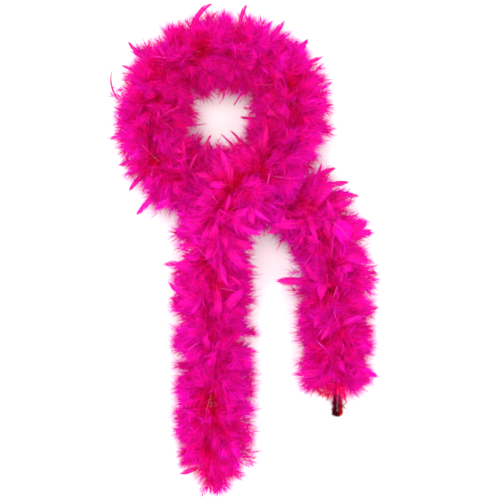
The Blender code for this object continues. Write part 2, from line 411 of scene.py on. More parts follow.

# The hole in the loop, where painted shade makes the feathers less blue
HOLE_CENTRE = np.array([-0.036, 0.232])
HOLE_EDGE = 0.125
HOLE_BLEND = 0.03
HOLE_SHADE = 0.20

# Fibres that stand off the end loops: painted shade on one leg and in the eye, painted light on the
# other
FUZZ_SHADED = np.array([0.085, 0.0008, 0.004])
FUZZ_LIT = np.array([0.60, 0.006, 0.016])

# The two shades of spun fibres in each cord and thread
LOOP_SHADES = ((0.05, 0.0006, 0.002), (0.30, 0.006, 0.014))
CORE_SHADES = ((0.35, 0.0008, 0.03), (0.85, 0.004, 0.12))
THREAD_SHADES = ((0.10, 0.001, 0.006), (0.45, 0.02, 0.05))
CUT_THREAD_SHADES = ((0.03, 0.0004, 0.003), (0.15, 0.004, 0.016))

# An end loop's colour on its leg in painted shade, and how much brighter its leg in painted light
# is
LOOP_SHADED = 0.65
LOOP_LIT = 2.2

# The materials of a tuft's mesh, in order
DOWN, VANE, SHAFT = 0, 1, 2


# ---- materials


def feather_material(name, roughness, through, grain, specular=0.0):
    """Dyed barbs: matt, with a sheen, and some light coming through them."""
    material = bpy.data.materials.new(name)
    material.use_nodes = True
    tree = material.node_tree
    nodes, links = tree.nodes, tree.links
    shader = nodes["Principled BSDF"]
    output = nodes["Material Output"]
    tint = nodes.new("ShaderNodeAttribute")
    tint.attribute_name = "tint"
    place = nodes.new("ShaderNodeTexCoord")
    patches = nodes.new("ShaderNodeTexNoise")
    patches.inputs["Scale"].default_value = grain
    patches.inputs["Detail"].default_value = 3
    links.new(place.outputs["Object"], patches.inputs["Vector"])
    spread = nodes.new("ShaderNodeMapRange")
    spread.inputs["From Min"].default_value = 0.3
    spread.inputs["From Max"].default_value = 0.7
    spread.inputs["To Min"].default_value = 0.80
    spread.inputs["To Max"].default_value = 1.02
    links.new(patches.outputs["Fac"], spread.inputs["Value"])
    shaded = nodes.new("ShaderNodeVectorMath")
    shaded.operation = "SCALE"
    links.new(tint.outputs["Color"], shaded.inputs[0])
    links.new(spread.outputs["Result"], shaded.inputs["Scale"])
    links.new(shaded.outputs["Vector"], shader.inputs["Base Color"])
    shader.inputs["Roughness"].default_value = roughness
    shader.inputs["Specular IOR Level"].default_value = specular
    shader.inputs["Sheen Weight"].default_value = 0.08
    shader.inputs["Sheen Roughness"].default_value = 0.4
    shader.inputs["Sheen Tint"].default_value = (1.0, 0.05, 0.75, 1)
    glow = nodes.new("ShaderNodeBsdfTranslucent")
    links.new(shaded.outputs["Vector"], glow.inputs["Color"])
    blend = nodes.new("ShaderNodeMixShader")
    blend.inputs["Fac"].default_value = through
    links.new(shader.outputs["BSDF"], blend.inputs[1])
    links.new(glow.outputs["BSDF"], blend.inputs[2])
    links.new(blend.outputs["Shader"], output.inputs["Surface"])
    return material


def cord_material(name, shades, scale, roughness, tinted=False):
    """Spun fibres: fine streaks of two shades, with the same streaks in relief."""
    material = bpy.data.materials.new(name)
    material.use_nodes = True
    nodes, links = material.node_tree.nodes, material.node_tree.links
    shader = nodes["Principled BSDF"]
    place = nodes.new("ShaderNodeTexCoord")
    fibres = nodes.new("ShaderNodeTexNoise")
    fibres.inputs["Scale"].default_value = scale
    fibres.inputs["Detail"].default_value = 5
    fibres.inputs["Roughness"].default_value = 0.65
    links.new(place.outputs["Object"], fibres.inputs["Vector"])
    ramp = nodes.new("ShaderNodeValToRGB")
    for stop, position, shade in zip(ramp.color_ramp.elements, (0.36, 0.68), shades):
        stop.position = position
        stop.color = (*shade, 1)
    links.new(fibres.outputs["Fac"], ramp.inputs["Fac"])
    if tinted:
        tint = nodes.new("ShaderNodeAttribute")
        tint.attribute_name = "tint"
        dyed = nodes.new("ShaderNodeVectorMath")
        dyed.operation = "MULTIPLY"
        links.new(ramp.outputs["Color"], dyed.inputs[0])
        links.new(tint.outputs["Color"], dyed.inputs[1])
        links.new(dyed.outputs["Vector"], shader.inputs["Base Color"])
    else:
        links.new(ramp.outputs["Color"], shader.inputs["Base Color"])
    relief = nodes.new("ShaderNodeBump")
    relief.inputs["Strength"].default_value = 0.5
    relief.inputs["Distance"].default_value = 0.0004
    links.new(fibres.outputs["Fac"], relief.inputs["Height"])
    links.new(relief.outputs["Normal"], shader.inputs["Normal"])
    shader.inputs["Roughness"].default_value = roughness
    shader.inputs["Specular IOR Level"].default_value = 0.0
    shader.inputs["Sheen Weight"].default_value = 0.05
    shader.inputs["Sheen Tint"].default_value = (1.0, 0.02, 0.10, 1)
    return material


# ---- one feather


class Shaft:
    """The bent line of a feather's shaft, with its side and its face at each point."""

    def __init__(self, root, direction, face, length, bend, sway, twist):
        u = np.linspace(0, SHAFT_REACH, SHAFT_STEPS)
        self.length, self.u = length, u * length
        step = length * (u[1] - u[0])
        places, sides, faces, heads = [root], [], [], []
        head, front = unit(direction), unit(face)
        front = unit(front - np.dot(front, head) * head)
        for k in range(SHAFT_STEPS):
            side = np.cross(head, front)
            sides.append(side)
            faces.append(front)
            heads.append(head)
            if k < SHAFT_STEPS - 1:
                places.append(places[-1] + head * step)
            pace = (u[1] - u[0]) * (0.55 + 0.9 * u[k])
            head = unit(turn(head, side, bend * pace))
            front = unit(turn(front, side, bend * pace))
            head = unit(turn(head, front, sway * pace))
            front = unit(turn(front, head, twist * pace))
            front = unit(front - np.dot(front, head) * head)
        self.places, self.sides = np.array(places), np.array(sides)
        self.faces, self.heads = np.array(faces), np.array(heads)

    def at(self, along, across, out):
        """World points for local ones: along the shaft, across the vane, and out of its face."""
        flat = np.clip(along.ravel(), 0, self.u[-1])
        shape = (*along.shape, 3)
        place = at_lengths(self.places, self.u, flat).reshape(shape)
        side = at_lengths(self.sides, self.u, flat).reshape(shape)
        face = at_lengths(self.faces, self.u, flat).reshape(shape)
        return place + across[..., None] * side + out[..., None] * face


def keep_in_place(points):
    """Presses what would go through the floor onto it, and stray ends back to the boa's size."""
    z = points[..., 2]
    low = z < FLOOR_SOFT
    room = FLOOR_SOFT - FLOOR_GAP
    z[low] = FLOOR_GAP + room * np.exp((z[low] - FLOOR_SOFT) / room)
    for axis, limit in enumerate(LIMITS):
        v = points[..., axis]
        far = np.abs(v) > limit - EDGE_SOFT
        over = np.abs(v[far]) - (limit - EDGE_SOFT)
        pressed = limit - EDGE_SOFT * np.exp(-over / EDGE_SOFT)
        v[far] = np.copysign(pressed, v[far])
    return points


def add_shaft(soup, shaft, thick, thin, until, tint):
    """The quill: a three-sided tapering tube."""
    rings, sides = 9, 3
    u = np.linspace(0, until, rings)
    around = np.array([0.5, 2.6, 4.7])
    radius = (thick + (thin - thick) * u / until)[:, None]
    along = np.repeat((u * shaft.length)[:, None], sides, axis=1)
    points = shaft.at(along, radius * np.cos(around), radius * np.sin(around))
    tints = np.broadcast_to(tint, points.shape)
    soup.add(keep_in_place(points), tints, tube_quads(rings, sides), SHAFT)


def outline_share(along, across, length, width, start, power, widest):
    """How far inside the vane's outline a point is: under 1 is inside."""
    middle = start + widest * (length - start)
    ahead = np.maximum(along - middle, 0) / (length - middle)
    return ahead**power + (np.abs(across) / width) ** power


def add_vane(soup, shaft, width, start, power, widest, barbs, tint, edge, chance):
    """Barbs side by side on both sides of the shaft, split here and there."""
    length, sections = shaft.length, 4
    t = np.linspace(0, 1, sections)[None, :]
    for side in (-1, 1):
        u0 = np.linspace(start, 0.975, barbs) * length
        spacing = (u0[1] - u0[0]) if barbs > 1 else 0.001
        progress = np.linspace(0, 1, barbs)
        angle = np.radians(58 - 30 * progress)
        lift = np.zeros(barbs)
        for _ in range(chance.integers(2, 6)):
            split = chance.integers(1, barbs)
            angle[split:] -= math.radians(chance.uniform(-5, 11))
            lift[split:] += chance.uniform(-0.0012, 0.0012)
        angle = np.clip(angle + np.radians(chance.normal(0, 1.3, barbs)), 0.2, 1.25)
        reach = width / np.sin(angle) * (0.62 + 0.5 * np.sin(math.pi * (0.18 + 0.6 * progress)))
        share = np.ones(barbs)
        for _ in range(7):
            tip_along = u0 + reach * share * np.cos(angle - 0.2)
            tip_across = reach * share * np.sin(angle - 0.2)
            inside = outline_share(
                tip_along, tip_across, length, width, start * length, power, widest
            )
            share = np.where(inside > 1, share * 0.86, share)
        reach = reach * share * chance.uniform(0.9, 1.02, barbs)
        heading = angle[:, None] - 0.4 * t
        step = reach[:, None] / (sections - 1)
        along = u0[:, None] + np.cumsum(np.cos(heading) * step, axis=1) - np.cos(heading) * step
        across = np.cumsum(np.sin(heading) * step, axis=1) - np.sin(heading) * step
        half = spacing * np.sin(angle)[:, None] * np.array([0.62, 0.66, 0.58, 0.16])[None, :]
        out = -0.22 * across**2 / max(width, 1e-4) + lift[:, None] * t
        out = out + (np.arange(barbs) % 2)[:, None] * 0.00012
        edges = []
        for way in (-1, 1):
            edge_along = along - way * half * np.sin(heading)
            edge_across = side * (across + way * half * np.cos(heading))
            edges.append(shaft.at(edge_along, edge_across, out))
        points = np.stack(edges, axis=2)
        shade = np.clip(1 + chance.normal(0, 0.14, barbs), 0.5, 1.4)[:, None, None, None]
        shade = shade**SHADE_POWERS
        mix = (t**2)[..., None, None]
        tints = (tint * (1 - mix) + edge * mix) * shade
        tints = np.broadcast_to(tints, points.shape)
        soup.add(keep_in_place(points), tints, strip_quads(barbs, sections), VANE)


def add_down(soup, shaft, first, last, barbs, longest, tint, tip, chance):
    """Long soft barbs on both sides of the shaft, in wisps of a few that lie and curl alike."""
    sections = 5
    wisps = max(2, barbs // BARBS_PER_WISP)
    mine = chance.integers(0, wisps, barbs)
    t = np.linspace(0, 1, sections)[None, :, None]
    u0 = chance.uniform(first, last, wisps)[mine] + chance.normal(0, 0.014, barbs)
    u0 = np.clip(u0, first, last)
    side = chance.choice([-1, 1], wisps)[mine]
    loose = 0.8 + 1.0 * u0
    angle = 50 - 12 * u0 + chance.normal(0, 10, wisps)[mine] * loose + chance.normal(0, 5, barbs)
    angle = np.radians(np.clip(angle, 2, 88))
    out = (chance.normal(0, 0.34, wisps)[mine] + chance.normal(0, 0.12, barbs)) * loose
    heading = np.stack(
        [np.cos(angle), side * np.sin(angle) * np.cos(out), np.sin(angle) * np.sin(out)], axis=-1
    )
    curl = chance.normal(0, 0.13, (wisps, 3))[mine] * loose[:, None]
    curl = curl + chance.normal(0, 0.05, (barbs, 3))
    curl[:, 0] += 0.22
    curl[:, 1] -= 0.10 * side
    reach = longest * chance.uniform(0.66, 1, wisps)[mine] * chance.uniform(0.6, 1.05, barbs)
    reach = reach * (1.12 - 0.60 * u0)
    local = heading[:, None, :] * t + curl[:, None, :] * t**2
    wave = chance.normal(0, 0.02, (barbs, 1, 3)) * np.sin(t * 2 * math.pi)
    local = (local + wave) * reach[:, None, None]
    roll = chance.normal(0, 0.6, barbs)
    across = unit(np.cross(UP, heading) + 1e-6)
    across = across * np.cos(roll)[:, None] + np.cross(heading, across) * np.sin(roll)[:, None]
    half = np.array([0.00038, 0.00046, 0.00038, 0.00023, 0.00004])[None, :, None]
    fine = chance.random(barbs) < FINE_SHARE
    local = local * np.where(fine, 1.28, 1.0)[:, None, None]
    half = half * (chance.uniform(0.75, 1.3, barbs) * np.where(fine, 0.42, 0.95))[:, None, None]
    pair = np.stack([local - across[:, None] * half, local + across[:, None] * half], axis=2)
    u0 = u0 * shaft.length
    points = shaft.at(u0[:, None, None] + pair[..., 0], pair[..., 1], pair[..., 2])
    shade = 1 + chance.normal(0, 0.17, wisps)[mine] + chance.normal(0, 0.16, barbs)
    shade = np.clip(shade, 0.5, 1.3)[:, None, None, None] ** SHADE_POWERS
    # Painted shade: near its root the down turns redder, deep in the plumage where shade falls
    depth = np.clip(u0 / 0.036, 0, 1)[:, None, None, None]
    lean = np.clip(chance.normal(0, 0.25, wisps)[mine], -0.5, 0.5)[:, None, None, None]
    mix = np.clip((t**1.2)[..., None] + lean, 0, 1) * depth
    base = SHADED_ROOT * (1 - depth) + tint * depth
    tints = np.broadcast_to((base * (1 - mix) + tip * mix) * shade, points.shape)
    soup.add(keep_in_place(points), tints, strip_quads(barbs, sections), DOWN)


def add_feather(
    soup, chance, root, direction, face, length, width, bend, sway, twist,
    start, power, widest, downy=46, down_reach=0.019, edge=None, quill=QUILL, thick=0.00055,
):
    """A feather with a vane at its end and down below it."""
    shaft = Shaft(root, direction, face, length, bend, sway, twist)
    tone = chance.uniform(0, 1)
    tint = ROSE * (1 - tone) + PINK * tone
    tint = tint * chance.uniform(0.95, 1.01)
    usual = tint * 0.55 + ORCHID * 0.45 if chance.random() < 0.7 else tint * 0.6 + VIOLET * 0.4
    edge = usual if edge is None else edge
    add_shaft(soup, shaft, thick, thick * 0.4, 0.95, quill)
    barbs = max(8, int((1 - start) * length / VANE_BARB_SPACING))
    if width > 0.0005:
        add_vane(soup, shaft, width, start, power, widest, barbs, tint, edge, chance)
    if downy:
        add_down(soup, shaft, 0.06, start + 0.16, downy, down_reach, tint, ORCHID, chance)


def add_plume(soup, chance, root, direction, face, length, bend, sway, twist, tone):
    """A plume that is soft down to its tip."""
    shaft = Shaft(root, direction, face, length, bend, sway, twist)
    tone = np.clip(tone + chance.normal(0, 0.15), 0, 1)
    tint = CRIMSON * (1 - tone) + PINK * tone
    tint = tint * chance.uniform(0.95, 1.01)
    tip = tint * 0.40 + ORCHID * 0.60
    pale = tint * 0.6 + QUILL * 0.4
    add_shaft(soup, shaft, 0.00048, 0.00014, 0.97, pale)
    add_down(soup, shaft, 0.06, 0.98, PLUME_BARBS, 0.036, tint, tip, chance)


# ---- the boa


route = smooth_curve(ROUTE)
route_along = lengths_along(route)
total = route_along[-1]
route_heads = unit(np.gradient(route, axis=0))


def cord_frame(s):
    """The cord's place at length s, with its heading, its upward and its sideways directions."""
    place = at_lengths(route, route_along, np.array([s]))[0]
    head = unit(at_lengths(route_heads, route_along, np.array([s]))[0])
    upward = unit(UP - np.dot(UP, head) * head)
    return place, head, upward, np.cross(head, upward)


def lean_at(s, spin=1.2):
    """How far feathers lean towards the nearer end of the boa: a little, and more at the ends.

    The ones on the cord's top keep off the end loop on the right.
    """
    right, left = s, total - s
    if right < left:
        off_top = min(1.0, abs(spin) / 1.2)
        return -math.radians(9 + 8 * math.exp(-right / 0.04)) * off_top
    return math.radians(9 + 43 * math.exp(-left / 0.05))


def outward(s, turn_round, lean):
    """A root on the cord's skin and the direction that a feather leaves it in.

    Feathers on the cord part to both sides, and those under it are pressed out sideways.
    """
    place, head, upward, side = cord_frame(s)
    share = abs(turn_round) / math.pi
    pressed = PARTED_FROM + (PRESSED_TO - PARTED_FROM) * min(1.0, 1.5 * share)
    turn_round = math.copysign(pressed, turn_round)
    radial = math.cos(turn_round) * upward + math.sin(turn_round) * side
    direction = math.cos(lean) * radial + math.sin(lean) * head
    return place + radial * CORD_SKIN, direction, radial


def loose_face(direction, chance):
    """The side a feather shows: mostly its flat face is up, and upright ones face any way."""
    lift = UP - np.dot(UP, direction) * direction
    random_way = unit(chance.normal(0, 1, 3))
    random_way = random_way - np.dot(random_way, direction) * direction
    return unit(lift * 1.1 + 0.55 * random_way)


def fullness(s, spin):
    """How far feathers at length s stand out on the side that this turn round the cord is on."""
    lengths, left, right = np.array(FULLNESS).T
    share = np.interp(s, lengths, right if spin > 0 else left)
    return 1 + (share - 1) * abs(math.sin(spin))


def painted_shade_by_depth(seat):
    """A function for painted light and shade at points of a tuft.

    Near the cord and low down it is painted shade, deep red; outside it is painted light, bright;
    round the hole in the loop painted shade makes it less blue.
    """
    line = at_lengths(route, route_along, seat + np.linspace(-SHADE_REACH, SHADE_REACH, 19))

    def shading(points):
        away = np.linalg.norm(points[:, None, :] - line[None, :, :], axis=2)
        nearest = np.argmin(away, axis=1)
        below = np.clip(line[nearest, 2] - points[:, 2], 0, LOWEST)
        away = away[np.arange(len(points)), nearest] - LOW_IS_SHADED * below
        share = np.clip((away - SHADE_WITHIN) / (LIT_BEYOND - SHADE_WITHIN), 0, 1)
        share = (share * share * (3 - 2 * share))[:, None]
        # Painted shade near the cord and low down, painted light further out
        tones = SHADED_TONE * (1 - share) + LIT_TONE * share
        # Painted shade: less blue round the hole in the loop, whose inner side lies in shade
        from_hole = np.linalg.norm(points[:, :2] - HOLE_CENTRE, axis=1)
        tones[:, 2] *= 1 - HOLE_SHADE * np.clip((HOLE_EDGE - from_hole) / HOLE_BLEND, 0, 1)
        return tones

    return shading


def combed(s, spin):
    """How far neighbouring feathers lie over together, in slow waves along the boa."""
    slow = math.sin(2 * math.pi * s / 0.213 + 1.3 + 1.0 * spin)
    quick = math.sin(2 * math.pi * s / 0.087 + 0.7 + 2.0 * spin)
    return math.radians(15 * slow + 9 * quick) * min(1.0, s / 0.05)


def grow_clump(soup, chance, s, spin, size):
    """A few feathers and plumes that leave the cord together and lie much the same way."""
    lean = lean_at(s, spin) + combed(s, spin) + math.radians(chance.normal(0, 11))
    _, direction, radial = outward(s, spin, lean)
    face = loose_face(direction, chance)
    below, upright = max(0.0, -radial[2]), max(0.0, direction[2])
    bend = math.radians(chance.normal(8, 11) - 68 * upright - 30 * below)
    sway = math.radians(chance.normal(0, 14)) + 0.6 * combed(s + 0.03, spin)
    scale = chance.uniform(0.87, 1.04) * (1 - 0.24 * below) * fullness(s, spin)
    tone = chance.uniform(0, 1)
    vaned = np.interp(s, *np.array(VANED_SHARE).T)
    for k in range(size):
        here = min(max(s + chance.normal(0, 0.004), 0.011), total - 0.004)
        root, way, _ = outward(here, spin + chance.normal(0, 0.22), lean)
        way = unit(way + chance.normal(0, 0.10, 3))
        own_bend = bend + math.radians(chance.normal(0, 9))
        own_sway = sway + math.radians(chance.normal(0, 9))
        own_twist = math.radians(chance.normal(0, 16))
        own_face = unit(face + chance.normal(0, 0.16, 3))
        if k == 0 or chance.random() > vaned:
            length = chance.uniform(0.056, 0.074) * scale
            add_plume(
                soup, chance, root, way, own_face, length, own_bend, own_sway, own_twist, tone
            )
            continue
        kind = chance.random()
        if kind < 0.45:
            length = chance.uniform(0.058, 0.076) * scale
            width, power, widest = chance.uniform(0.006, 0.011), chance.uniform(1.9, 3.2), 0.5
        elif kind < 0.70:
            length = chance.uniform(0.052, 0.068) * scale
            width, power, widest = chance.uniform(0.009, 0.016), chance.uniform(4.0, 7.0), 0.85
        else:
            length = chance.uniform(0.058, 0.078) * scale
            width, power, widest = chance.uniform(0.002, 0.005), chance.uniform(1.3, 2.0), 0.45
        add_feather(
            soup, chance, root, way, own_face, length, width, own_bend, own_sway, own_twist,
            start=chance.uniform(0.26, 0.55), power=power, widest=widest,
        )


def grow_undercoat(soup, chance, seat, pitch):
    """Low, dense down that closes the gaps between the feathers, in crimson as painted shade."""
    for side in (-1, 1):
        for k in range(UNDERCOAT_PLUMES):
            s = seat + ((k + chance.random()) / UNDERCOAT_PLUMES - 0.5) * pitch
            s = min(max(s, 0.010), total - 0.010)
            lean = 0.6 * lean_at(s) + math.radians(chance.normal(0, 12))
            spin = side * chance.uniform(1.15, 1.75)
            root, way, _ = outward(s, spin, lean)
            length = chance.uniform(0.040, 0.048) * fullness(s, spin)
            shaft = Shaft(root, way, UP, length, 0.2, 0, 0)
            tint = CRIMSON * chance.uniform(0.85, 1.0)
            add_down(soup, shaft, 0.02, 0.98, UNDERCOAT_BARBS, 0.024, tint, ROSE, chance)


def over_the_top(chance, s, steepest, flattest):
    """A root on the cord's top, a direction tilted from upright to any side, and its upper face."""
    place, head, upward, side = cord_frame(s)
    around = chance.uniform(0, 2 * math.pi)
    along = math.cos(around)
    if s < 0.035:
        along = abs(along)
    level = unit(along * head + math.sin(around) * side)
    tilt = math.radians(chance.uniform(steepest, flattest))
    direction = math.cos(tilt) * upward + math.sin(tilt) * level
    face = math.sin(tilt) * upward - math.cos(tilt) * level + chance.normal(0, 0.15, 3)
    return place + upward * CORD_TOP, direction, unit(face)


def grow_cover(soup, chance, s):
    """A plume from the cord's top that lies over it, so that the cord stays hidden."""
    root, way, face = over_the_top(chance, s, 12, 58)
    bend = -math.radians(chance.uniform(20, 62))
    sway = math.radians(chance.normal(0, 24)) + combed(s, 0.0)
    length = chance.uniform(0.048, 0.066)
    twist, tone = math.radians(chance.normal(0, 20)), chance.uniform(0, 1)
    add_plume(soup, chance, root, way, face, length, bend, sway, twist, tone)


def grow_ribbon(soup, chance, s):
    """A long narrow feather from the cord's top, bent over to lie on the others."""
    root, way, face = over_the_top(chance, s, 25, 55)
    sway = math.radians(chance.normal(0, 30)) + 2.2 * combed(s, 0.0)
    add_feather(
        soup, chance, root, way, face, chance.uniform(0.078, 0.098), chance.uniform(0.004, 0.011),
        -math.radians(chance.uniform(35, 65)), sway, math.radians(chance.normal(0, 15)),
        start=0.30, power=chance.uniform(1.7, 2.6), widest=0.45, downy=30,
    )


def grow_bare_quill(soup, chance, s):
    """A thin pale shaft with almost nothing on it, bent over the feathers."""
    root, way, face = over_the_top(chance, s, 20, 62)
    add_feather(
        soup, chance, root, way, face, chance.uniform(0.058, 0.084), 0.0012,
        -math.radians(chance.uniform(20, 65)), math.radians(chance.normal(0, 42)), 0.0,
        start=0.6, power=1.5, widest=0.3, downy=14, quill=PALE, thick=0.00062,
    )


def stray_root(tip, slide):
    """How far along the cord a stray feather's root is."""
    nearest = int(np.argmin(np.linalg.norm((route - np.array(tip))[:, :2], axis=1)))
    return min(max(route_along[nearest] + slide, 0.003), total - 0.003)


def grow_stray(soup, chance, tip, slide, width, sway, kind):
    """A feather that stands out of the outline, grown from the cord to its tip."""
    tip = np.array(tip)
    root = cord_frame(stray_root(tip, slide))[0]
    root = root + CORD_TOP * unit(tip - root)
    way = tip - root
    sway = math.radians(sway)
    length = float(np.linalg.norm(way)) * (1 + 0.045 * sway**2)
    face = unit(UP - np.dot(UP, unit(way)) * unit(way) + chance.normal(0, 0.1, 3))
    way = turn(unit(way), face, -0.43 * sway)
    start, power, widest, downy = STRAY_KINDS[kind]
    add_feather(
        soup, chance, root, way, face, length, width, 0.0, sway, chance.normal(0, 0.2),
        start=start, power=power, widest=widest, downy=downy, down_reach=0.022,
        edge=PINK if kind == "fan" else PLUM,
        quill=PLUM if kind == "quill" else QUILL, thick=0.0007,
    )


def grow_tuft(index, chance):
    """All the feathers and plumes that are bound at one tuft."""
    soup = Soup()
    seat = (2 * index + 1.5) / (2 * TUFTS + 1) * total
    pitch = 2 * total / (2 * TUFTS + 1)
    for k in range(CLUMPS_PER_TUFT):
        s = seat + ((k + chance.uniform(0.1, 0.9)) / CLUMPS_PER_TUFT - 0.5) * pitch
        spin = index * 1.1 + k * 2.399 + chance.uniform(-0.4, 0.4)
        spin = (spin + math.pi) % (2 * math.pi) - math.pi
        grow_clump(soup, chance, min(max(s, 0.004), total - 0.004), spin, CLUMP_SIZE)
    grow_undercoat(soup, chance, seat, pitch)
    for k in range(COVERS_PER_TUFT):
        s = seat + ((k + 0.5) / COVERS_PER_TUFT - 0.5) * pitch
        grow_cover(soup, chance, min(max(s, 0.006), total - 0.006))
    vaned = np.interp(seat, *np.array(VANED_SHARE).T)
    for _ in range(max(0, round(RIBBONS_PER_TUFT * (vaned - 0.1) / 0.5))):
        s = seat + chance.uniform(-0.5, 0.5) * pitch
        grow_ribbon(soup, chance, min(max(s, 0.010), total - 0.010))
    for _ in range(round(1 + BARE_QUILLS * vaned)):
        s = seat + chance.uniform(-0.5, 0.5) * pitch
        grow_bare_quill(soup, chance, min(max(s, 0.014), total - 0.014))
    for stray in STRAYS:
        if int(stray_root(*stray[:2]) / total * TUFTS) == index:
            grow_stray(soup, chance, *stray)
    return soup


def grow_boa(materials):
    """One piece for each tuft, with its own seed."""
    for index in range(TUFTS):
        chance = np.random.default_rng(SEED + index)
        soup = grow_tuft(index, chance)
        # Each tuft's colours get painted shade near the cord and painted light outside it
        shading = painted_shade_by_depth((index + 0.5) / TUFTS * total)
        name = f"plumage_{index + 1:02d}"
        show(name, soup.mesh(name, materials, shading), f"feather_tuft_{index + 1:02d}")


# ---- cord and loops


def twisted_mesh(name, path, diameter, pitch, material, plies=2, sides=8, fray=0.0, lit_share=None):
    """Plies laid round one another along a path, with closed ends that may spread apart.

    The last argument says how much painted light each point gets, from 0 for painted shade to 1.
    """
    along = lengths_along(path)
    heads = unit(np.gradient(path, axis=0))
    upward = unit(UP - (heads @ UP)[:, None] * heads)
    side = np.cross(heads, upward)
    ply_radius = diameter * 0.27
    spread = np.clip(along / along[-1] * 3 - 2, 0, 1)[:, None] ** 2
    offset = (diameter * 0.5 - ply_radius) * (1 + fray * spread)
    points, faces = [], []
    for ply in range(plies):
        phase = 2 * math.pi * (along / pitch + ply / plies)
        centre = path + offset * (np.cos(phase)[:, None] * upward + np.sin(phase)[:, None] * side)
        start = len(points) * len(path) * sides
        lines = []
        for k in range(sides):
            a = 2 * math.pi * k / sides + phase
            out = np.cos(a)[:, None] * upward + np.sin(a)[:, None] * side
            lines.append(centre + ply_radius * out)
        points.append(np.stack(lines, axis=1).reshape(-1, 3))
        quads = tube_quads(len(path), sides).reshape(-1, 4) + start
        faces.extend(quads.tolist())
        faces.append([start + k for k in range(sides)][::-1])
        faces.append([start + (len(path) - 1) * sides + k for k in range(sides)])
    points = np.concatenate(points)
    data = bpy.data.meshes.new(name)
    data.from_pydata(points.tolist(), [], faces)
    data.polygons.foreach_set("use_smooth", np.ones(len(data.polygons), bool))
    data.materials.append(material)
    if lit_share is not None:
        layer = data.color_attributes.new("tint", "FLOAT_COLOR", "POINT")
        rgba = np.ones((len(points), 4), np.float32)
        # Painted shade on one leg, painted light on the other
        rgba[:, :3] = LOOP_SHADED + LOOP_LIT * lit_share(points)[:, None]
        layer.data.foreach_set("color", rgba.ravel())
    return data


def end_axes(end, before):
    """Local axes at the cord's end: across, outwards along the cord, and level."""
    outwards = unit(end - before)
    level = unit(UP - np.dot(UP, outwards) * outwards)
    return np.cross(outwards, level), outwards, level


def loop_path(end, axes, length, side):
    """The folded end: out along one leg, round the eye, and back beside the cord."""
    middle = np.array([side * LEG_SPACING / 2, length - LOOP_ARC_RADIUS, 0])
    angles = np.linspace(0, math.pi, 13)
    arc = middle + LOOP_ARC_RADIUS * np.stack(
        [-side * np.cos(angles), np.sin(angles), 0 * angles], axis=-1
    )
    out = np.array([0, LOOP_START, 0])
    back = np.array([side * LEG_SPACING, LOOP_START, 0])
    tail = np.array([side * LEG_SPACING, -WHIPPING_LENGTH - 0.002, 0])
    local = np.vstack([out, arc, back, tail])
    return end + local @ np.array(axes)


def wound_thread(name, centre_line, radius, turns, thickness, material, oval=0.0):
    """Thread wound round a line, as a curve. oval is how far its turns are drawn out across."""
    start, end, across, level = centre_line
    steps = int(turns * 14)
    data = bpy.data.curves.new(name, "CURVE")
    data.dimensions = "3D"
    data.bevel_depth = thickness / 2
    data.bevel_resolution = 1
    data.use_fill_caps = True
    spline = data.splines.new("POLY")
    spline.points.add(steps)
    for k in range(steps + 1):
        a = 2 * math.pi * turns * k / steps
        place = start + (end - start) * k / steps
        reach = radius * math.cos(a) + math.copysign(oval, math.cos(a))
        place = place + across * reach + level * radius * math.sin(a)
        spline.points[k].co = (*place, 1)
    data.materials.append(material)
    return data


def lit_side(eye):
    """A function for an end loop's painted light: none on its shaded leg, full on the other."""

    def lit_share(points):
        return np.clip((points[..., 0] - eye[0] - 0.0012) / 0.003, 0, 1)

    return lit_share


def add_fuzz(soup, path, lit_share, chance):
    """Short curved fibres that stand off the cord of an end loop and close its eye in painted
    shade.
    """
    heads = unit(np.gradient(path, axis=0))
    seats = chance.integers(0, len(path), FUZZ_HAIRS)
    head = heads[seats]
    outwards = np.cross(head, chance.normal(0, 1, (FUZZ_HAIRS, 3)))
    way = unit(outwards + head * chance.normal(0, 0.5, (FUZZ_HAIRS, 1)))
    t = np.linspace(0, 1, 4)[None, :, None]
    reach = FUZZ_LENGTH * chance.uniform(0.3, 1, (FUZZ_HAIRS, 1, 1))
    curl = reach * chance.normal(0, 0.5, (FUZZ_HAIRS, 1, 3)) * t**2
    line = path[seats][:, None, :] + way[:, None, :] * (FUZZ_START + reach * t) + curl
    across = unit(np.cross(way, chance.normal(0, 1, (FUZZ_HAIRS, 3))))[:, None, :]
    half = np.array([0.00036, 0.00040, 0.00030, 0.00006])[None, :, None]
    points = np.stack([line - across * half, line + across * half], axis=2)
    # Painted shade on the fibres of one leg and in the eye, painted light on the other leg
    tints = FUZZ_SHADED + (FUZZ_LIT - FUZZ_SHADED) * lit_share(points)[..., None]
    tints = tints * chance.uniform(0.7, 1.2, (FUZZ_HAIRS, 1, 1, 1))
    soup.add(keep_in_place(points), tints, strip_quads(FUZZ_HAIRS, 4), 0)


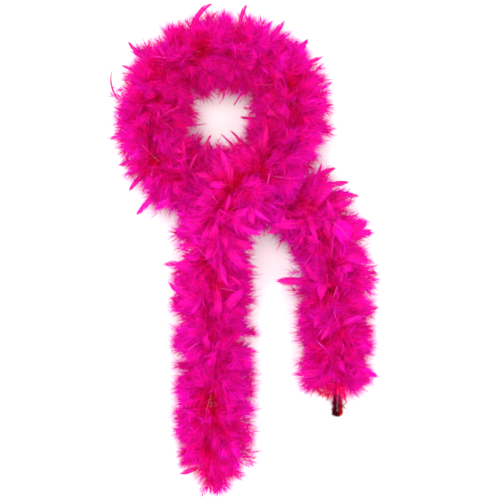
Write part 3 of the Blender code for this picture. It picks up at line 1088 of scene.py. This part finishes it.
def make_ends(cord, thread, cut_thread, fuzz):
    """The folded loop at each end of the boa, with its fibres, its whipping and its knot."""
    stops = evenly_spaced(route, 2 * TUFTS + 2)
    ends = (
        ("right", stops[0], stops[1], RIGHT_LOOP_LENGTH, -1),
        ("left", stops[-1], stops[-2], LEFT_LOOP_LENGTH, 1),
    )
    for label, end, before, length, side in ends:
        axes = end_axes(end, before)
        across, outwards, level = axes
        path = evenly_spaced(smooth_curve(loop_path(end, axes, length, side), 6), 110)
        middle = end + across * side * LEG_SPACING / 2
        # One leg of the loop is painted in shade and the other in light
        lit_share = lit_side(middle + outwards * (length - LOOP_ARC_RADIUS))
        name = f"end_cord_{label}"
        data = twisted_mesh(name, path, CORD_DIAMETER, CORD_PITCH, cord, lit_share=lit_share)
        show(name, data, f"end_loop_{label}", slot="twisted_cord")
        name = f"end_fuzz_{label}"
        soup = Soup()
        add_fuzz(soup, path[:-FUZZ_LEAVES_FREE], lit_share, np.random.default_rng(FUZZ_SEED))
        show(name, soup.mesh(name, [fuzz]), slot="twisted_cord")

        line = (middle - outwards * 0.0006, middle - outwards * 0.0096, across, level)
        name = f"whipping_thread_{label}"
        radius = CORD_DIAMETER / 2 + 0.0006
        data = wound_thread(name, line, radius, 10, 0.0009, thread, oval=LEG_SPACING / 2)
        show(name, data, f"loop_whipping_{label}", slot="binding_thread")

        bent = np.array([side * (LEG_SPACING / 2 + LOOP_ARC_RADIUS), length - LOOP_ARC_RADIUS, 0])
        back = np.array([side * LEG_SPACING, LOOP_START, 0])
        leg = unit((back - bent) @ np.array(axes))
        knot = end + (bent + 0.25 * (back - bent)) @ np.array(axes)
        line = (knot - leg * 0.0014, knot + leg * 0.0014, across, np.cross(across, leg))
        name = f"knot_thread_{label}"
        data = wound_thread(name, line, CORD_DIAMETER / 2 + 0.0008, 4, 0.0011, cut_thread)
        show(name, data, f"thread_knot_{label}", slot="binding_thread")
        if label == "right":
            make_cut_ends(knot, cut_thread)


def make_cut_ends(knot, thread):
    """The knot's two cut ends, which stand away from the visible loop."""
    routes = {
        "upper": (
            (0.0036, 0.0003, 0), (0.0058, 0.0008, 0), (0.0084, 0.0034, 0.0008), (0.011, 0.0056, 0),
        ),
        "lower": (
            (0.0036, -0.0003, 0), (0.0058, -0.0008, 0), (0.008, -0.0032, 0.0006),
            (0.0104, -0.0066, 0),
        ),
    }
    for label, places in routes.items():
        path = evenly_spaced(smooth_curve([knot + np.array(p) for p in places], 6), 24)
        name = f"cut_thread_{label}"
        data = twisted_mesh(name, path, 0.0013, 0.003, thread, plies=3, sides=5, fray=1.2)
        show(name, data, f"thread_tail_{label}", slot="binding_thread")


# ---- set


def make_floor():
    """A plain pale sheet of paper, much larger than the picture."""
    bpy.ops.mesh.primitive_plane_add(size=30, location=(0, 0, 0))
    floor = bpy.context.object
    floor.name = "floor"
    material = bpy.data.materials.new("paper_sweep")
    material.use_nodes = True
    shader = material.node_tree.nodes["Principled BSDF"]
    shader.inputs["Base Color"].default_value = (0.93, 0.93, 0.93, 1)
    shader.inputs["Roughness"].default_value = 0.9
    shader.inputs["Specular IOR Level"].default_value = 0.1
    floor.data.materials.append(material)
    floor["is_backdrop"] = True


def make_light(name, place, size, watts):
    """A soft white lamp that faces the middle of the boa."""
    data = bpy.data.lights.new(name, "AREA")
    data.shape = "DISK"
    data.size = size
    data.energy = watts
    item = bpy.data.objects.new(name, data)
    bpy.context.scene.collection.objects.link(item)
    item.location = place
    item.rotation_mode = "QUATERNION"
    item.rotation_quaternion = (-Vector(place)).to_track_quat("-Z", "Y")


def make_world():
    """Even white light from all sides."""
    world = bpy.data.worlds.new("studio")
    world.use_nodes = True
    background = world.node_tree.nodes["Background"]
    background.inputs["Color"].default_value = (1, 1, 1, 1)
    background.inputs["Strength"].default_value = 1.08
    bpy.context.scene.world = world


def make_camera():
    """A camera straight above, that looks down."""
    data = bpy.data.cameras.new("camera")
    data.sensor_width = SENSOR_WIDTH
    data.lens = SENSOR_WIDTH * (CAMERA_PLACE[2] - CORD_HEIGHT) / PICTURE_WIDTH
    camera = bpy.data.objects.new("camera", data)
    camera.location = CAMERA_PLACE
    bpy.context.scene.collection.objects.link(camera)
    bpy.context.scene.camera = camera


def main():
    """The whole scene: camera, light and floor, then the cord, its ends and the feathers."""
    bpy.context.scene.view_settings.view_transform = "Standard"
    make_camera()
    make_world()
    make_floor()
    make_light("key", (-0.6, 0.7, 2.8), 1.8, 49)
    make_light("fill", (1.1, -0.7, 2.6), 2.0, 29)

    down = feather_material("dyed_down", 0.8, 0.55, 60)
    vane = feather_material("dyed_vane", 0.55, 0.42, 45, 0.02)
    quill = feather_material("dyed_quill", 0.6, 0.10, 80)
    fuzz = feather_material("cord_fuzz", 0.9, 0.05, 200)
    cord = cord_material("maroon_cord", LOOP_SHADES, 900, 0.5, tinted=True)
    cut_thread = cord_material("cut_thread", CUT_THREAD_SHADES, 1500, 0.6)
    thread = cord_material("maroon_thread", THREAD_SHADES, 1500, 0.45)
    core_cord = cord_material("crimson_cord", CORE_SHADES, 900, 0.7)

    name = "core_cord_plies"
    path = evenly_spaced(route, 700)
    data = twisted_mesh(name, path, CORD_DIAMETER, CORD_PITCH, core_cord, sides=6)
    core = show(name, data, "core_cord", slot="twisted_cord")
    make_ends(cord, thread, cut_thread, fuzz)
    grow_boa([down, vane, quill])


main()

bpy.context.view_layer.update()
boxes = {"cad": cad_bounds, "visual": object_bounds()}
boxes = {key: [[float(x) for x in corner] for corner in box] for key, box in boxes.items()}
